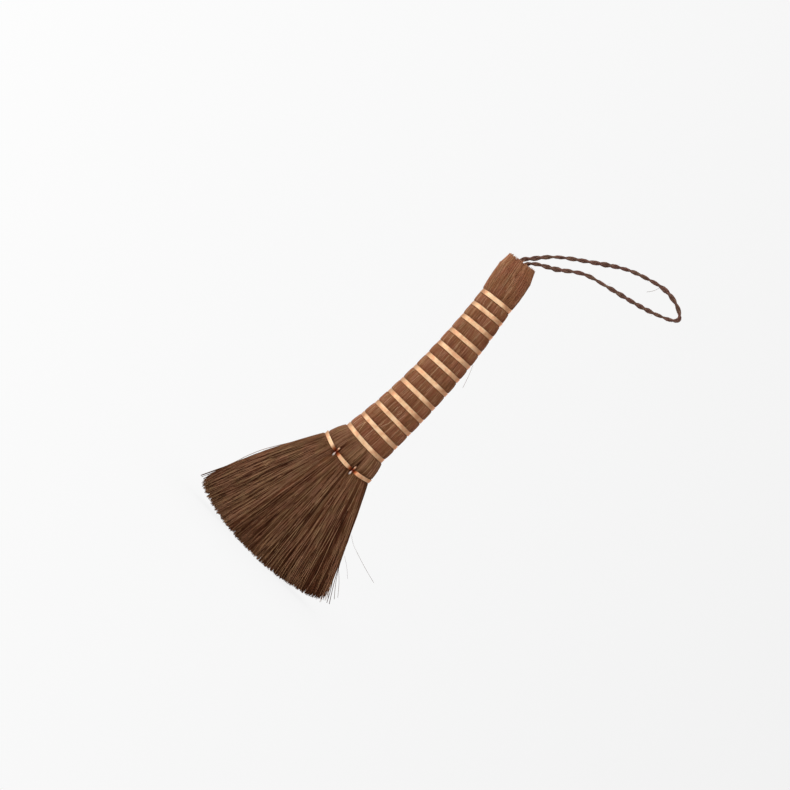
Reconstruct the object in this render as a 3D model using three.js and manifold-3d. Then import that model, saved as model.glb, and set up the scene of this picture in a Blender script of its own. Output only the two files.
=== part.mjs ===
// A hand brush of palm fibre: three fibre bundles bound side by side with copper wire, which fan out
// below a stitched collar and end in a twisted cord loop. Millimetres, +Z from the bristles to the loop,
// X across the brush, front face towards -Y. The origin is the middle of the collar's flat back.

import * as THREE from 'three';
import { LoftGeometry } from 'three/addons/geometries/LoftGeometry.js';
import { mergeVertices } from 'three/addons/utils/BufferGeometryUtils.js';
import Module from 'manifold-3d';

// ---- driving dimensions -------------------------------------------------------------------------

// Outline stations of the bound body: height, half width, half thickness.
const BODY_STATIONS = [
  [-16, 26.4, 8.0], [-8, 22.6, 7.6], [0, 19.3, 7.5], [6, 17.7, 8.4], [10, 16.3, 8.5],
  [13, 14.9, 8.4], [34, 13.75, 8.1], [70, 12.5, 7.7], [122, 10.5, 6.9], [150, 10.1, 6.6],
];
const HANDLE_TOP = 149.5;
const BOW = 2.7; // how far the handle bows to +X, at mid bow
const BOW_HEIGHT = 50;
const LEAN = -1.9; // below the collar the fan leans a little to -X
const LEAN_FADE = 6;
const OUTLINE_POWER = 2.5; // the section is a superellipse pressed flat front and back
const FLAT_SHARE = 0.95;
const TILT_PER_MM = 0.0015; // the windings lie square to the bowed handle
const TILT_LEVEL = 48.6;
const COLLAR_DIP = 3.6; // the collar and the lowest windings sag towards the bristles
const DIP_FADE = 8;
const RING_POINTS = 24;

const FIRST_BAND = 13.0;
// From each handle winding to the next one up; wound by hand, so a little uneven.
const BAND_SPACINGS = [10.4, 10.7, 10.1, 9.8, 10.7, 10.5, 9.6, 10.2, 10.6, 9.5, 8.9];
const BAND_COUNT = BAND_SPACINGS.length + 1;
const BAND_WIDTH = 2.9;
const WIRE_BUILD = 0.9; // thickness of a winding
const CLEAR = 0.3; // gap between pieces that rest on each other
const FIBRE_BULGE = 0.2; // fibre swells a little between two windings
const GROOVE_EDGE = 0.3; // and dips this far beside them
const GROOVE_SLOPE = 0.15; // the groove walls lean out a little
const COLLAR_BAY_MIDDLE = 8.4; // height where the fibre above the collar swells most
const END_FLARE = 0.5; // the fibres open a little above the last winding
const FLARE_HEIGHTS = [136, 146]; // between these heights the flare draws in again
const END_CHAMFER = [0.9, 2.4]; // height and depth of the trimmed end

const COLLAR_WIDTH = 2.5;
const COLLAR_POINTS = 48;
const SPLIT_SHARE = 0.37; // where the bundles meet, as a share of the half width
const BUNDLE_GAP = 0.4;
const PINCH_DEPTH = 0.26;
const PINCH_WIDTH = 2.3;
const PINCH_FADE = 6;
const STITCH_REACH = 3.6; // half height of a stitch loop
const STITCH_WIRE = 0.5;
const STITCH_STEPS = 16;
const STITCH_ROOM = 1; // free height above and below a stitch in its slit

const STEM_END = -12; // lower end of the bound stems
const FLEX_HEIGHT = -17; // axis about which the bristles bend to the front and back
const KNUCKLE = 7.2; // radius of a tuft's rounded top end
const KNUCKLE_ROOM = 0.4; // free space round it
const FAN_TIP = -77.7;
const FAN_HALF_ANGLE = THREE.MathUtils.degToRad(25.2);
const FAN_TIP_RADIUS = 155;
const FAN_TIP_THICKNESS = 21;
const FAN_BELLY = -45; // height by which the fan has its full thickness
const CORNER_RISE = 8; // the fan's outer corners end this much higher than its middle
const TUFT_GAP = 0.7;

const TIE_HEIGHT = 3.6;
const TIE_WIDTH = 1.6;
const TIE_SPREAD = 11.9; // from the middle tie to an outer one
const TIE_MIDDLE = [6.1, 6.2]; // half width and half thickness of the tied middle bundle
const TIE_OUTER = [5.0, 4.9];
const TIE_SIDES = 20;
const TIE_CORE_REACH = 1; // the core left inside a tie's groove runs this far past it
const SKEWER_HEIGHT = 7.2;
const SKEWER_LENGTH = 27;
const SKEWER_RADIUS = 1.2;
const SKEWER_POINT = 3; // length of each sharpened end
const SKEWER_ROOM = 1.5; // the hole is this much longer at each end
const SKEWER_SIDES = 12;

const PLY_RADIUS = 0.72;
const PLY_OFFSET = 0.9; // from the cord's middle to a ply's middle
const CORD_PITCH = 13; // length of one full turn of the two plies
const PLY_SIDES = 5;
const PLY_STEPS = 8; // per full turn of the plies
const SWING_CLEARANCE = 4.4; // hollow in the handle's end round the cord
const KNOT_SIZE = 2.3;
const KNOT_DROP = 9;
const KNOT_CORD = 0.75;
const KNOT_TURNS = [2, 3]; // turns about the knot's axis, and through its middle
const KNOT_STEPS = 36;
const KNOT_SIDES = 5;
const KNOT_POCKET = [2.7, 4.6, 5]; // half width, half depth and depth below the knot's middle
const EYE_HINGE = [20.5, 0, 175]; // where the loop opens, at the end of its neck
const EYE_DIRECTION = THREE.MathUtils.degToRad(16);
const SEAM = 1.3; // half the gap between the neck's plies and the eye's
const STRAND_SPREAD = 4; // from the eye's axis to each cord strand where neck and eye meet
// The middle line of the loop's eye, from its upper strand round the tip to its lower strand.
const EYE_LINE = [
  [37, 0.6, 190.5], [52, 1, 196.2], [63, 0.8, 198.2], [73, 0.4, 196.4], [79, 0, 192.2],
  [76.5, -0.3, 188.2], [65.5, -0.6, 183.4], [53.7, -0.8, 179.8], [36.5, -0.4, 175.6],
];

const COLOURS = {
  fibre: 0x734b32, dark_fibre: 0x573925, copper: 0xe0a070, bamboo: 0xcbb482, cord: 0x4a2e22,
};

// ---- solids: joins and cuts ---------------------------------------------------------------------

const wasm = await Module();
wasm.setup();

function welded(geometry) {
  const bare = new THREE.BufferGeometry();
  bare.setAttribute('position', geometry.attributes.position);
  bare.setIndex(geometry.index);
  const merged = mergeVertices(bare, 1e-4);
  merged.computeVertexNormals();
  return merged;
}

function solid(geometry) {
  const merged = welded(geometry);
  const vertProperties = Float32Array.from(merged.attributes.position.array);
  const triVerts = Uint32Array.from(merged.index.array);
  return new wasm.Manifold(new wasm.Mesh({ numProp: 3, vertProperties, triVerts }));
}

function fromSolid(manifold) {
  const mesh = manifold.getMesh();
  const geometry = new THREE.BufferGeometry();
  geometry.setAttribute('position', new THREE.BufferAttribute(Float32Array.from(mesh.vertProperties), 3));
  geometry.setIndex(new THREE.BufferAttribute(Uint32Array.from(mesh.triVerts), 1));
  geometry.computeVertexNormals();
  return geometry;
}

function block(x0, x1, y0, y1, z0, z1) {
  const box = new THREE.BoxGeometry(x1 - x0, y1 - y0, z1 - z0);
  return solid(box.translate((x0 + x1) / 2, (y0 + y1) / 2, (z0 + z1) / 2));
}

function rodAlongX(radius, halfLength, y, z, sides = 24) {
  const rod = new THREE.CylinderGeometry(radius, radius, 2 * halfLength, sides);
  return solid(rod.rotateZ(Math.PI / 2).translate(0, y, z));
}

// ---- the bound body's outline -------------------------------------------------------------------

function station(z) {
  const last = BODY_STATIONS.length - 2;
  let i = 0;
  while (i < last && z > BODY_STATIONS[i + 1][0]) i += 1;
  const [z0, a0, b0] = BODY_STATIONS[i];
  const [z1, a1, b1] = BODY_STATIONS[i + 1];
  const t = (z - z0) / (z1 - z0);
  return { halfWidth: a0 + t * (a1 - a0), halfDepth: b0 + t * (b1 - b0) };
}

function middleX(z) {
  if (z < 0) return LEAN * (1 - Math.exp(z / LEAN_FADE));
  return BOW * (1 - ((z - BOW_HEIGHT) / BOW_HEIGHT) ** 2);
}

function splitX(z, side) {
  return middleX(z) + side * SPLIT_SHARE * station(z).halfWidth;
}

function pinchAt(x, z) {
  const near = (side) => Math.exp(-(((x - splitX(z, side)) / PINCH_WIDTH) ** 2));
  return 1 - PINCH_DEPTH * Math.exp(-((z / PINCH_FADE) ** 2)) * (near(-1) + near(1));
}

// Height of the tilted, sagging ring that belongs to height z, at width x.
function ringHeight(z, x) {
  const across = (x - middleX(z)) / station(z).halfWidth;
  const sag = COLLAR_DIP * Math.exp(-Math.max(z, 0) / DIP_FADE) * Math.max(0, 1 - across ** 2);
  return z + TILT_PER_MM * (z - TILT_LEVEL) * (x - middleX(z)) - sag;
}

// A closed ring of points on the outline at height z, grown outwards by grow and lifted by lift.
function ring(z, grow, lift = 0, points = RING_POINTS) {
  const { halfWidth, halfDepth } = station(z);
  const round = (value, size) => Math.sign(value) * Math.abs(value) ** (2 / OUTLINE_POWER) * size;
  return Array.from({ length: points }, (_, i) => {
    const angle = (2 * Math.PI * i) / points;
    const x = middleX(z) + round(Math.cos(angle), halfWidth + grow);
    const pinched = round(Math.sin(angle), halfDepth + grow) * pinchAt(x, z);
    const flat = FLAT_SHARE * (halfDepth + grow);
    const y = THREE.MathUtils.clamp(pinched, -flat, flat);
    return new THREE.Vector3(x, y, ringHeight(z, x) + lift);
  });
}

// A winding: a ring with a flat section, WIRE_BUILD thick.
function windingGeometry(z, width, points) {
  const profile = [[0, -0.5], [0, 0.5], [-WIRE_BUILD, 0.5], [-WIRE_BUILD, -0.5]];
  const rings = profile.map(([grow, share]) => ring(z, grow, share * width, points));
  rings.push(rings[0]);
  return welded(new LoftGeometry(rings));
}

// The room that the collar winding takes up in the fibre.
function collarRoom() {
  const half = COLLAR_WIDTH / 2 + CLEAR;
  const inner = -(WIRE_BUILD + CLEAR);
  const outer = 3; // well clear of the fibre
  const profile = [[outer, half], [inner, half], [inner, -half], [outer, -half], [outer, half]];
  return solid(new LoftGeometry(profile.map(([grow, lift]) => ring(0, grow, lift, COLLAR_POINTS))));
}

function bandHeight(index) {
  return BAND_SPACINGS.slice(0, index).reduce((sum, spacing) => sum + spacing, FIRST_BAND);
}

// ---- stems: the bound upper part of the three bundles -------------------------------------------

function bodySolid() {
  const sunk = -(WIRE_BUILD + CLEAR);
  const half = BAND_WIDTH / 2 + CLEAR;
  const rings = [-15, -8, -4, 0, 4].map((z) => ring(z, 0));
  rings.push(ring(COLLAR_BAY_MIDDLE, FIBRE_BULGE / 2));
  for (let i = 0; i < BAND_COUNT; i += 1) {
    const z = bandHeight(i);
    rings.push(ring(z, -GROOVE_EDGE, -half - GROOVE_SLOPE), ring(z, sunk, -half));
    rings.push(ring(z, sunk, half), ring(z, -GROOVE_EDGE, half + GROOVE_SLOPE));
    if (i < BAND_COUNT - 1) rings.push(ring((z + bandHeight(i + 1)) / 2, FIBRE_BULGE));
  }
  const [chamferHeight, chamferDepth] = END_CHAMFER;
  rings.push(ring(FLARE_HEIGHTS[0], END_FLARE), ring(FLARE_HEIGHTS[1], END_FLARE / 2));
  rings.push(ring(HANDLE_TOP - chamferHeight, -chamferDepth / 3), ring(HANDLE_TOP, -chamferDepth));
  return solid(new LoftGeometry(rings, { capStart: true, capEnd: true }));
}

// The space that one bundle may fill: everything between two split surfaces.
function bundleSpace(side) {
  const far = 60;
  const heights = [-30, -12, 0, 6, 12, 30, 50, 70, 90, 110, 130, 160];
  const rings = heights.map((z) => {
    const low = side < 0 ? -far : splitX(z, side === 0 ? -1 : 1) + BUNDLE_GAP / 2;
    const high = side > 0 ? far : splitX(z, side === 0 ? 1 : -1) - BUNDLE_GAP / 2;
    const corners = [[low, -far], [high, -far], [high, far], [low, far]];
    return corners.map(([x, y]) => new THREE.Vector3(x, y, z));
  });
  return solid(new LoftGeometry(rings, { capStart: true, capEnd: true }));
}

function tieShape(side, grow) {
  const [half, depth] = side === 0 ? TIE_MIDDLE : TIE_OUTER;
  const x = side * TIE_SPREAD;
  const low = TIE_HEIGHT - TIE_WIDTH / 2;
  const outline = (z) => Array.from({ length: TIE_SIDES }, (_, i) => {
    const angle = (2 * Math.PI * i) / TIE_SIDES;
    return new THREE.Vector3(x + (half + grow) * Math.cos(angle), (depth + grow) * Math.sin(angle), z);
  });
  return { low, high: low + TIE_WIDTH, outline };
}

function tieWire(side) {
  const { low, high, outline } = tieShape(side, 0);
  const inner = tieShape(side, -WIRE_BUILD).outline;
  const rings = [outline(low), outline(high), inner(high), inner(low), outline(low)];
  return welded(new LoftGeometry(rings));
}

function tieGroove(side) {
  const { low, high } = tieShape(side, 0);
  const core = tieShape(side, -(WIRE_BUILD + CLEAR)).outline;
  const ends = [core(low - TIE_CORE_REACH), core(high + TIE_CORE_REACH)];
  const neck = solid(new LoftGeometry(ends, { capStart: true, capEnd: true }));
  return block(-40, 40, -20, 20, low - CLEAR, high + CLEAR).subtract(neck);
}

function stitchCentre(side) {
  const x = splitX(0, side);
  const { halfDepth } = station(0);
  return { x, z: ringHeight(0, x), depth: halfDepth * pinchAt(x, 0) };
}

function swingCentre() {
  return new THREE.Vector3(middleX(HANDLE_TOP), 0, HANDLE_TOP + 0.5);
}

function stemGeometries() {
  const body = bodySolid();
  const pivot = swingCentre();
  const hollow = solid(new THREE.SphereGeometry(SWING_CLEARANCE, 20, 12).translate(pivot.x, 0, pivot.z));
  const knotX = middleX(HANDLE_TOP - KNOT_DROP);
  const [wide, deep, drop] = KNOT_POCKET;
  const floor = HANDLE_TOP - KNOT_DROP - drop;
  const pocket = block(knotX - wide, knotX + wide, -deep, deep, floor, HANDLE_TOP + 3);
  const knuckleRoom = rodAlongX(KNUCKLE + KNUCKLE_ROOM, 40, 0, FLEX_HEIGHT);
  const below = block(-60, 60, -30, 30, -60, STEM_END);
  const holeHalf = SKEWER_LENGTH / 2 + SKEWER_ROOM;
  const skewerHole = rodAlongX(SKEWER_RADIUS + CLEAR, holeHalf, 0, SKEWER_HEIGHT, SKEWER_SIDES);
  const slits = [-1, 1].map((side) => {
    const { x, z } = stitchCentre(side);
    const half = STITCH_WIRE + CLEAR;
    const reach = STITCH_REACH + STITCH_ROOM;
    return block(x - half, x + half, -20, 20, z - reach, z + reach);
  });
  return [-1, 0, 1].map((side) => {
    let stem = body.intersect(bundleSpace(side));
    const cuts = [collarRoom(), hollow, pocket, knuckleRoom, below, skewerHole, ...slits, tieGroove(side)];
    for (const cut of cuts) stem = stem.subtract(cut);
    return fromSolid(stem);
  });
}

// ---- tufts: the free lower part of the three bundles --------------------------------------------

function fanHalfWidth(z) {
  return station(-16).halfWidth + Math.tan(FAN_HALF_ANGLE) * (-16 - z);
}

// Side view: a rounded top end about the flex axis, widening to the tip.
function tuftSideView() {
  const shape = new THREE.Shape();
  shape.moveTo(KNUCKLE, FLEX_HEIGHT);
  shape.absarc(0, FLEX_HEIGHT, KNUCKLE, 0, Math.PI, false);
  shape.quadraticCurveTo(-FAN_TIP_THICKNESS / 2, FAN_BELLY, -FAN_TIP_THICKNESS / 2, FAN_TIP);
  shape.lineTo(FAN_TIP_THICKNESS / 2, FAN_TIP);
  shape.quadraticCurveTo(FAN_TIP_THICKNESS / 2, FAN_BELLY, KNUCKLE, FLEX_HEIGHT);
  return shape;
}

// Front view of one third of the fan, with its share of the arched tip line.
function tuftFrontView(side) {
  const top = FLEX_HEIGHT + KNUCKLE + 1;
  const edge = (share, z) => LEAN + share * fanHalfWidth(z);
  const from = side < 0 ? -1 : (side === 0 ? -SPLIT_SHARE : SPLIT_SHARE);
  const to = side > 0 ? 1 : (side === 0 ? SPLIT_SHARE : -SPLIT_SHARE);
  const inset = TUFT_GAP / 2;
  const tipAt = (x) => FAN_TIP + FAN_TIP_RADIUS - Math.sqrt(FAN_TIP_RADIUS ** 2 - (x - LEAN) ** 2);
  const low = (share) => edge(share, FAN_TIP + CORNER_RISE * share ** 2);
  const shape = new THREE.Shape();
  shape.moveTo(edge(from, top) + inset, top);
  shape.lineTo(low(from) + inset, tipAt(low(from)));
  for (let i = 1; i <= 4; i += 1) {
    const x = THREE.MathUtils.lerp(low(from) + inset, low(to) - inset, i / 4);
    shape.lineTo(x, tipAt(x));
  }
  shape.lineTo(edge(to, top) - inset, top);
  shape.closePath();
  return shape;
}

function tuftGeometry(side) {
  const length = 140;
  const options = { depth: length, bevelEnabled: false, curveSegments: 10 };
  const sideView = new THREE.ExtrudeGeometry(tuftSideView(), options);
  const frontView = new THREE.ExtrudeGeometry(tuftFrontView(side), options);
  sideView.rotateX(Math.PI / 2).rotateZ(Math.PI / 2).translate(-length / 2, 0, 0);
  frontView.rotateX(Math.PI / 2).translate(0, length / 2, 0);
  return fromSolid(solid(sideView).intersect(solid(frontView)));
}

// ---- copper stitches, skewer --------------------------------------------------------------------

// A wire loop round the collar winding, through the brush between two bundles.
function stitchGeometry(side) {
  const { x, z, depth } = stitchCentre(side);
  const square = (value) => Math.sign(value) * Math.sqrt(Math.abs(value));
  const wall = (size) => Array.from({ length: STITCH_STEPS + 1 }, (_, i) => {
    const angle = (2 * Math.PI * i) / STITCH_STEPS;
    const out = square(Math.cos(angle)) * (depth + CLEAR + size);
    return [out, square(Math.sin(angle)) * (STITCH_REACH + size)];
  });
  const outer = wall(2 * STITCH_WIRE);
  const inner = wall(0);
  const rings = outer.map(([y, h], i) => {
    const [yi, hi] = inner[i];
    const corners = [[1, 0], [0.6, 1], [-0.6, 1], [-1, 0]];
    return corners.map(([across, share]) => new THREE.Vector3(
      x + across * STITCH_WIRE,
      THREE.MathUtils.lerp(yi, y, share),
      z + THREE.MathUtils.lerp(hi, h, share),
    ));
  });
  return welded(new LoftGeometry(rings));
}

function skewerGeometry() {
  const half = SKEWER_LENGTH / 2;
  const shoulder = half - SKEWER_POINT;
  const profile = [[0, -half], [SKEWER_RADIUS, -shoulder], [SKEWER_RADIUS, shoulder], [0, half]];
  const lathe = new THREE.LatheGeometry(profile.map(([r, h]) => new THREE.Vector2(r, h)), SKEWER_SIDES);
  return welded(lathe.rotateZ(Math.PI / 2).translate(0, 0, SKEWER_HEIGHT));
}

// ---- cord ---------------------------------------------------------------------------------------

function path(points) {
  const line = points.map(([x, y, z]) => new THREE.Vector3(x, y, z));
  return new THREE.CatmullRomCurve3(line, false, 'centripetal');
}

// Where a strand ends at the seam between neck and eye; beyond is how far past the hinge it lies.
function seamPoint(side, beyond) {
  const along = new THREE.Vector3(Math.cos(EYE_DIRECTION), 0, Math.sin(EYE_DIRECTION));
  const apart = new THREE.Vector3(-along.z, 0, along.x);
  const hinge = new THREE.Vector3(...EYE_HINGE);
  return hinge.addScaledVector(apart, side * STRAND_SPREAD).addScaledVector(along, beyond).toArray();
}

// The neck's two strands leave the handle side by side and draw apart.
function neckPath(side) {
  const swing = swingCentre();
  return path([
    [swing.x - side * 1.75, 0, swing.z + 0.6],
    [swing.x + 4 - side * 2, 0, swing.z + 6 + side * 0.2],
    [swing.x + 14 - side * 2.4, 0, swing.z + 14.5 + side * 2.6],
    seamPoint(side, -SEAM),
  ]);
}

function eyePath() {
  return path([seamPoint(1, SEAM), ...EYE_LINE, seamPoint(-1, SEAM)]);
}

class PlyCurve extends THREE.Curve {
  constructor(centre, phase) {
    super();
    this.centre = centre;
    this.phase = phase;
    this.span = centre.getLength();
  }

  getPoint(t, target = new THREE.Vector3()) {
    const middle = this.centre.getPointAt(t);
    const tangent = this.centre.getTangentAt(t);
    const across = new THREE.Vector3(0, 1, 0);
    const inPlane = new THREE.Vector3().crossVectors(across, tangent).normalize();
    const turn = this.phase + (2 * Math.PI * this.span * t) / CORD_PITCH;
    target.copy(middle).addScaledVector(inPlane, PLY_OFFSET * Math.cos(turn));
    return target.addScaledVector(across, PLY_OFFSET * Math.sin(turn));
  }
}

function plyGeometry(centre, ply) {
  const curve = new PlyCurve(centre, ply * Math.PI);
  const corners = Array.from({ length: PLY_SIDES }, (_, i) => {
    const angle = (2 * Math.PI * i) / PLY_SIDES;
    return new THREE.Vector2(PLY_RADIUS * Math.cos(angle), PLY_RADIUS * Math.sin(angle));
  });
  const steps = Math.round((curve.span / CORD_PITCH) * PLY_STEPS);
  const options = { steps, bevelEnabled: false, extrudePath: curve };
  return welded(new THREE.ExtrudeGeometry(new THREE.Shape(corners), options));
}

function knotGeometry() {
  const knot = new THREE.TorusKnotGeometry(KNOT_SIZE, KNOT_CORD, KNOT_STEPS, KNOT_SIDES, ...KNOT_TURNS);
  const x = middleX(HANDLE_TOP - KNOT_DROP);
  return welded(knot.rotateY(Math.PI / 2).translate(x, 0, HANDLE_TOP - KNOT_DROP));
}

// ---- assembly -----------------------------------------------------------------------------------

const group = new THREE.Group();
const backDepth = FLAT_SHARE * station(0).halfDepth;
group.position.set(0, -backDepth, -ringHeight(0, 0));

function add(name, geometry, colour, roughness, metalness = 0) {
  const material = new THREE.MeshStandardMaterial({ color: COLOURS[colour], roughness, metalness });
  const mesh = new THREE.Mesh(geometry, material);
  mesh.name = name;
  group.add(mesh);
}

const SIDES = [[-1, 'left'], [0, 'centre'], [1, 'right']];
const stems = stemGeometries();
SIDES.forEach(([side, word], i) => {
  add(`stem_${word}`, stems[i], 'fibre', 0.8);
  add(`bristles_${word}`, tuftGeometry(side), 'dark_fibre', 0.8);
  add(`tie_wire_${word}`, tieWire(side), 'copper', 0.3, 1);
});
add('skewer', skewerGeometry(), 'bamboo', 0.6);
add('collar_winding', windingGeometry(0, COLLAR_WIDTH, COLLAR_POINTS), 'copper', 0.3, 1);
for (const [side, word] of SIDES.filter(([value]) => value !== 0)) {
  add(`collar_stitch_${word}`, stitchGeometry(side), 'copper', 0.25, 1);
}
for (let i = 0; i < BAND_COUNT; i += 1) {
  const number = String(i + 1).padStart(2, '0');
  add(`handle_winding_${number}`, windingGeometry(bandHeight(i), BAND_WIDTH, RING_POINTS), 'copper', 0.3, 1);
}
add('cord_knot', knotGeometry(), 'cord', 0.9);
for (const [side, word] of [[1, 'upper'], [-1, 'lower']]) {
  for (const ply of [0, 1]) {
    add(`cord_neck_${word}_ply_${ply + 1}`, plyGeometry(neckPath(side), ply), 'cord', 0.9);
  }
}
for (const ply of [0, 1]) {
  add(`cord_eye_ply_${ply + 1}`, plyGeometry(eyePath(), ply), 'cord', 0.9);
}

export default group;
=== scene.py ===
# A palm-fibre hand brush bound with copper wire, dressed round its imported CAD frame.
import math

import bpy
import numpy as np
from mathutils import Matrix, Vector


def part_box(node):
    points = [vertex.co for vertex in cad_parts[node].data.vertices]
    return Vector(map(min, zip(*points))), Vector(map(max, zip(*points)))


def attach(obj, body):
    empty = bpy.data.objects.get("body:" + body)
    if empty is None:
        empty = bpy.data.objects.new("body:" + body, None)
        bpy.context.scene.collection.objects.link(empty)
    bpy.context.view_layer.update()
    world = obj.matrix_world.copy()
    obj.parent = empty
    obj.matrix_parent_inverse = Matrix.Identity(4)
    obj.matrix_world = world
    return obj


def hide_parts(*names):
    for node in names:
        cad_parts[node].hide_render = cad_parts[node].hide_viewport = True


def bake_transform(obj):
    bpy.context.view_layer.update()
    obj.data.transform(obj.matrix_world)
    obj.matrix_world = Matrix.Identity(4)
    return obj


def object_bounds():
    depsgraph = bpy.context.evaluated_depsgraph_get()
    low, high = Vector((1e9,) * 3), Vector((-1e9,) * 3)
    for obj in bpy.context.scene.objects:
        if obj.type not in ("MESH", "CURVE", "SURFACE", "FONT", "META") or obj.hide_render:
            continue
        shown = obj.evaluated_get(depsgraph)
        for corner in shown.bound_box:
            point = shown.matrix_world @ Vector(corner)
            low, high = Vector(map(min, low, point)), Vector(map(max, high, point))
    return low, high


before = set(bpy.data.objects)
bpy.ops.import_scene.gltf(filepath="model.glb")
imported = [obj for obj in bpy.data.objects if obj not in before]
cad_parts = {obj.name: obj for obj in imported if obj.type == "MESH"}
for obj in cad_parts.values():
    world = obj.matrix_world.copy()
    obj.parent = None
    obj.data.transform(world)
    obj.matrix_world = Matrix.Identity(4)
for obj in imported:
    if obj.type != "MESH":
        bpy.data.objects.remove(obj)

CAD_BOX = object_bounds()
rng = np.random.default_rng(11)
MM = 0.001
TAU = 2 * math.pi

# ---- the bound body, in millimetres, as the CAD part has it ----

STATION_Z = [-16, -8, 0, 6, 10, 13, 34, 70, 122, 150]
STATION_WIDTH = [26.4, 22.6, 19.3, 17.7, 16.3, 14.9, 13.75, 12.5, 10.5, 10.1]  # half widths
STATION_DEPTH = [8.0, 7.6, 7.5, 8.4, 8.5, 8.4, 8.1, 7.7, 6.9, 6.6]  # half thicknesses
HANDLE_TOP = 149.5
BOW, BOW_HEIGHT = 2.7, 50
LEAN, LEAN_FADE = -1.9, 6
OUTLINE_POWER = 2.5
FLAT_SHARE = 0.95
TILT_PER_MM, TILT_LEVEL = 0.0015, 48.6
COLLAR_DIP, DIP_FADE = 3.6, 8
FIRST_BAND = 13.0
BAND_SPACINGS = [10.4, 10.7, 10.1, 9.8, 10.7, 10.5, 9.6, 10.2, 10.6, 9.5, 8.9]
BAND_HEIGHTS = [FIRST_BAND + sum(BAND_SPACINGS[:i]) for i in range(len(BAND_SPACINGS) + 1)]
BAND_WIDTH, COLLAR_WIDTH = 3.1, 2.7  # over the outer turns' round backs
SPLIT_SHARE = 0.37
PINCH_DEPTH, PINCH_WIDTH, PINCH_FADE = 0.26, 2.3, 6
FAN_TIP = -77.7
FAN_SLOPE = math.tan(math.radians(25.2))
FAN_TIP_RADIUS = 155
FAN_TIP_DEPTH = 10.0  # half thickness of the fan at its tips
SIDES = ((-1, "left"), (0, "centre"), (1, "right"))

# The CAD origin is the middle of the collar's flat back.
OFFSET = np.array([0.0, -FLAT_SHARE * 7.5, COLLAR_DIP])


def to_frame(points):
    return (np.asarray(points, float) + OFFSET) * MM


def station(z):
    return np.interp(z, STATION_Z, STATION_WIDTH), np.interp(z, STATION_Z, STATION_DEPTH)


def middle_x(z):
    z = np.asarray(z, float)
    lean = LEAN * (1 - np.exp(np.minimum(z, 0) / LEAN_FADE))
    return np.where(z < 0, lean, BOW * (1 - ((z - BOW_HEIGHT) / BOW_HEIGHT) ** 2))


def split_x(z, side):
    return middle_x(z) + side * SPLIT_SHARE * station(z)[0]


def near_stitch(x, z):
    """1 where a stitch goes through the body, falling to 0 beside it."""
    return sum(np.exp(-(((x - split_x(z, side)) / PINCH_WIDTH) ** 2)) for side in (-1, 1))


def pinch(x, z):
    return 1 - PINCH_DEPTH * np.exp(-((z / PINCH_FADE) ** 2)) * near_stitch(x, z)


def ring_height(z, x):
    across = (x - middle_x(z)) / station(z)[0]
    sag = COLLAR_DIP * np.exp(-np.maximum(z, 0) / DIP_FADE) * np.maximum(0, 1 - across**2)
    return z + TILT_PER_MM * (z - TILT_LEVEL) * (x - middle_x(z)) - sag


def rounded(value, size):
    return np.sign(value) * np.abs(value) ** (2 / OUTLINE_POWER) * size


def outline_point(z, angle, grow=0.0, lift=0.0):
    """A point on the body's outline at height z, grown outwards and lifted; all in millimetres."""
    half_width, half_depth = station(z)
    x = middle_x(z) + rounded(np.cos(angle), half_width + grow)
    flat = FLAT_SHARE * (half_depth + grow)
    y = np.clip(rounded(np.sin(angle), half_depth + grow) * pinch(x, z), -flat, flat)
    return np.stack([x, y, ring_height(z, x) + lift], axis=-1)


# ---- strand meshes ----


def unit(v):
    return v / np.maximum(np.linalg.norm(v, axis=-1, keepdims=True), 1e-12)


def strand_faces(count, steps, sides):
    """The strands' walls and end caps: corner indices, each face's start, and texture coordinates."""
    s = np.arange(count)[:, None, None] * steps * sides
    i = np.arange(steps - 1)[None, :, None]
    k = np.arange(sides)[None, None, :]
    j, m = i + 1, (k + 1) % sides
    quads = np.stack([s + i * sides + k, s + i * sides + m, s + j * sides + m, s + j * sides + k], axis=-1)
    quads = quads.reshape(-1, 4)
    first = np.arange(count)[:, None] * steps * sides + np.arange(sides)[None, ::-1]
    last = np.arange(count)[:, None] * steps * sides + (steps - 1) * sides + np.arange(sides)[None, :]
    caps = np.concatenate([first, last])
    corners = np.concatenate([quads.reshape(-1), caps.reshape(-1)])
    starts = np.concatenate([np.arange(len(quads)) * 4, quads.size + np.arange(len(caps)) * sides])

    # Each strand has its own cell of a square grid, with a margin kept free round it.
    grid, inset = math.ceil(math.sqrt(count)), 0.12
    row, column = np.divmod(np.arange(count), grid)
    along = np.stack([i, i, i + 1, i + 1], axis=-1) / (steps - 1)
    around = np.stack([k, k + 1, k + 1, k], axis=-1) / sides
    along = np.broadcast_to(along, (count, steps - 1, sides, 4))
    around = np.broadcast_to(around, (count, steps - 1, sides, 4))
    u = (column[:, None, None, None] + inset + (1 - 2 * inset) * along) / grid
    v = (row[:, None, None, None] + inset + (1 - 2 * inset) * around) / grid
    cap_u = (np.tile(column, 2) + np.repeat([inset, 1 - inset], count)) / grid
    cap_v = (np.tile(row, 2) + 0.5) / grid
    cap_uv = np.repeat(np.stack([cap_u, cap_v], axis=-1), sides, axis=0)
    return corners, starts, np.concatenate([np.stack([u, v], axis=-1).reshape(-1, 2), cap_uv])


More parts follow.
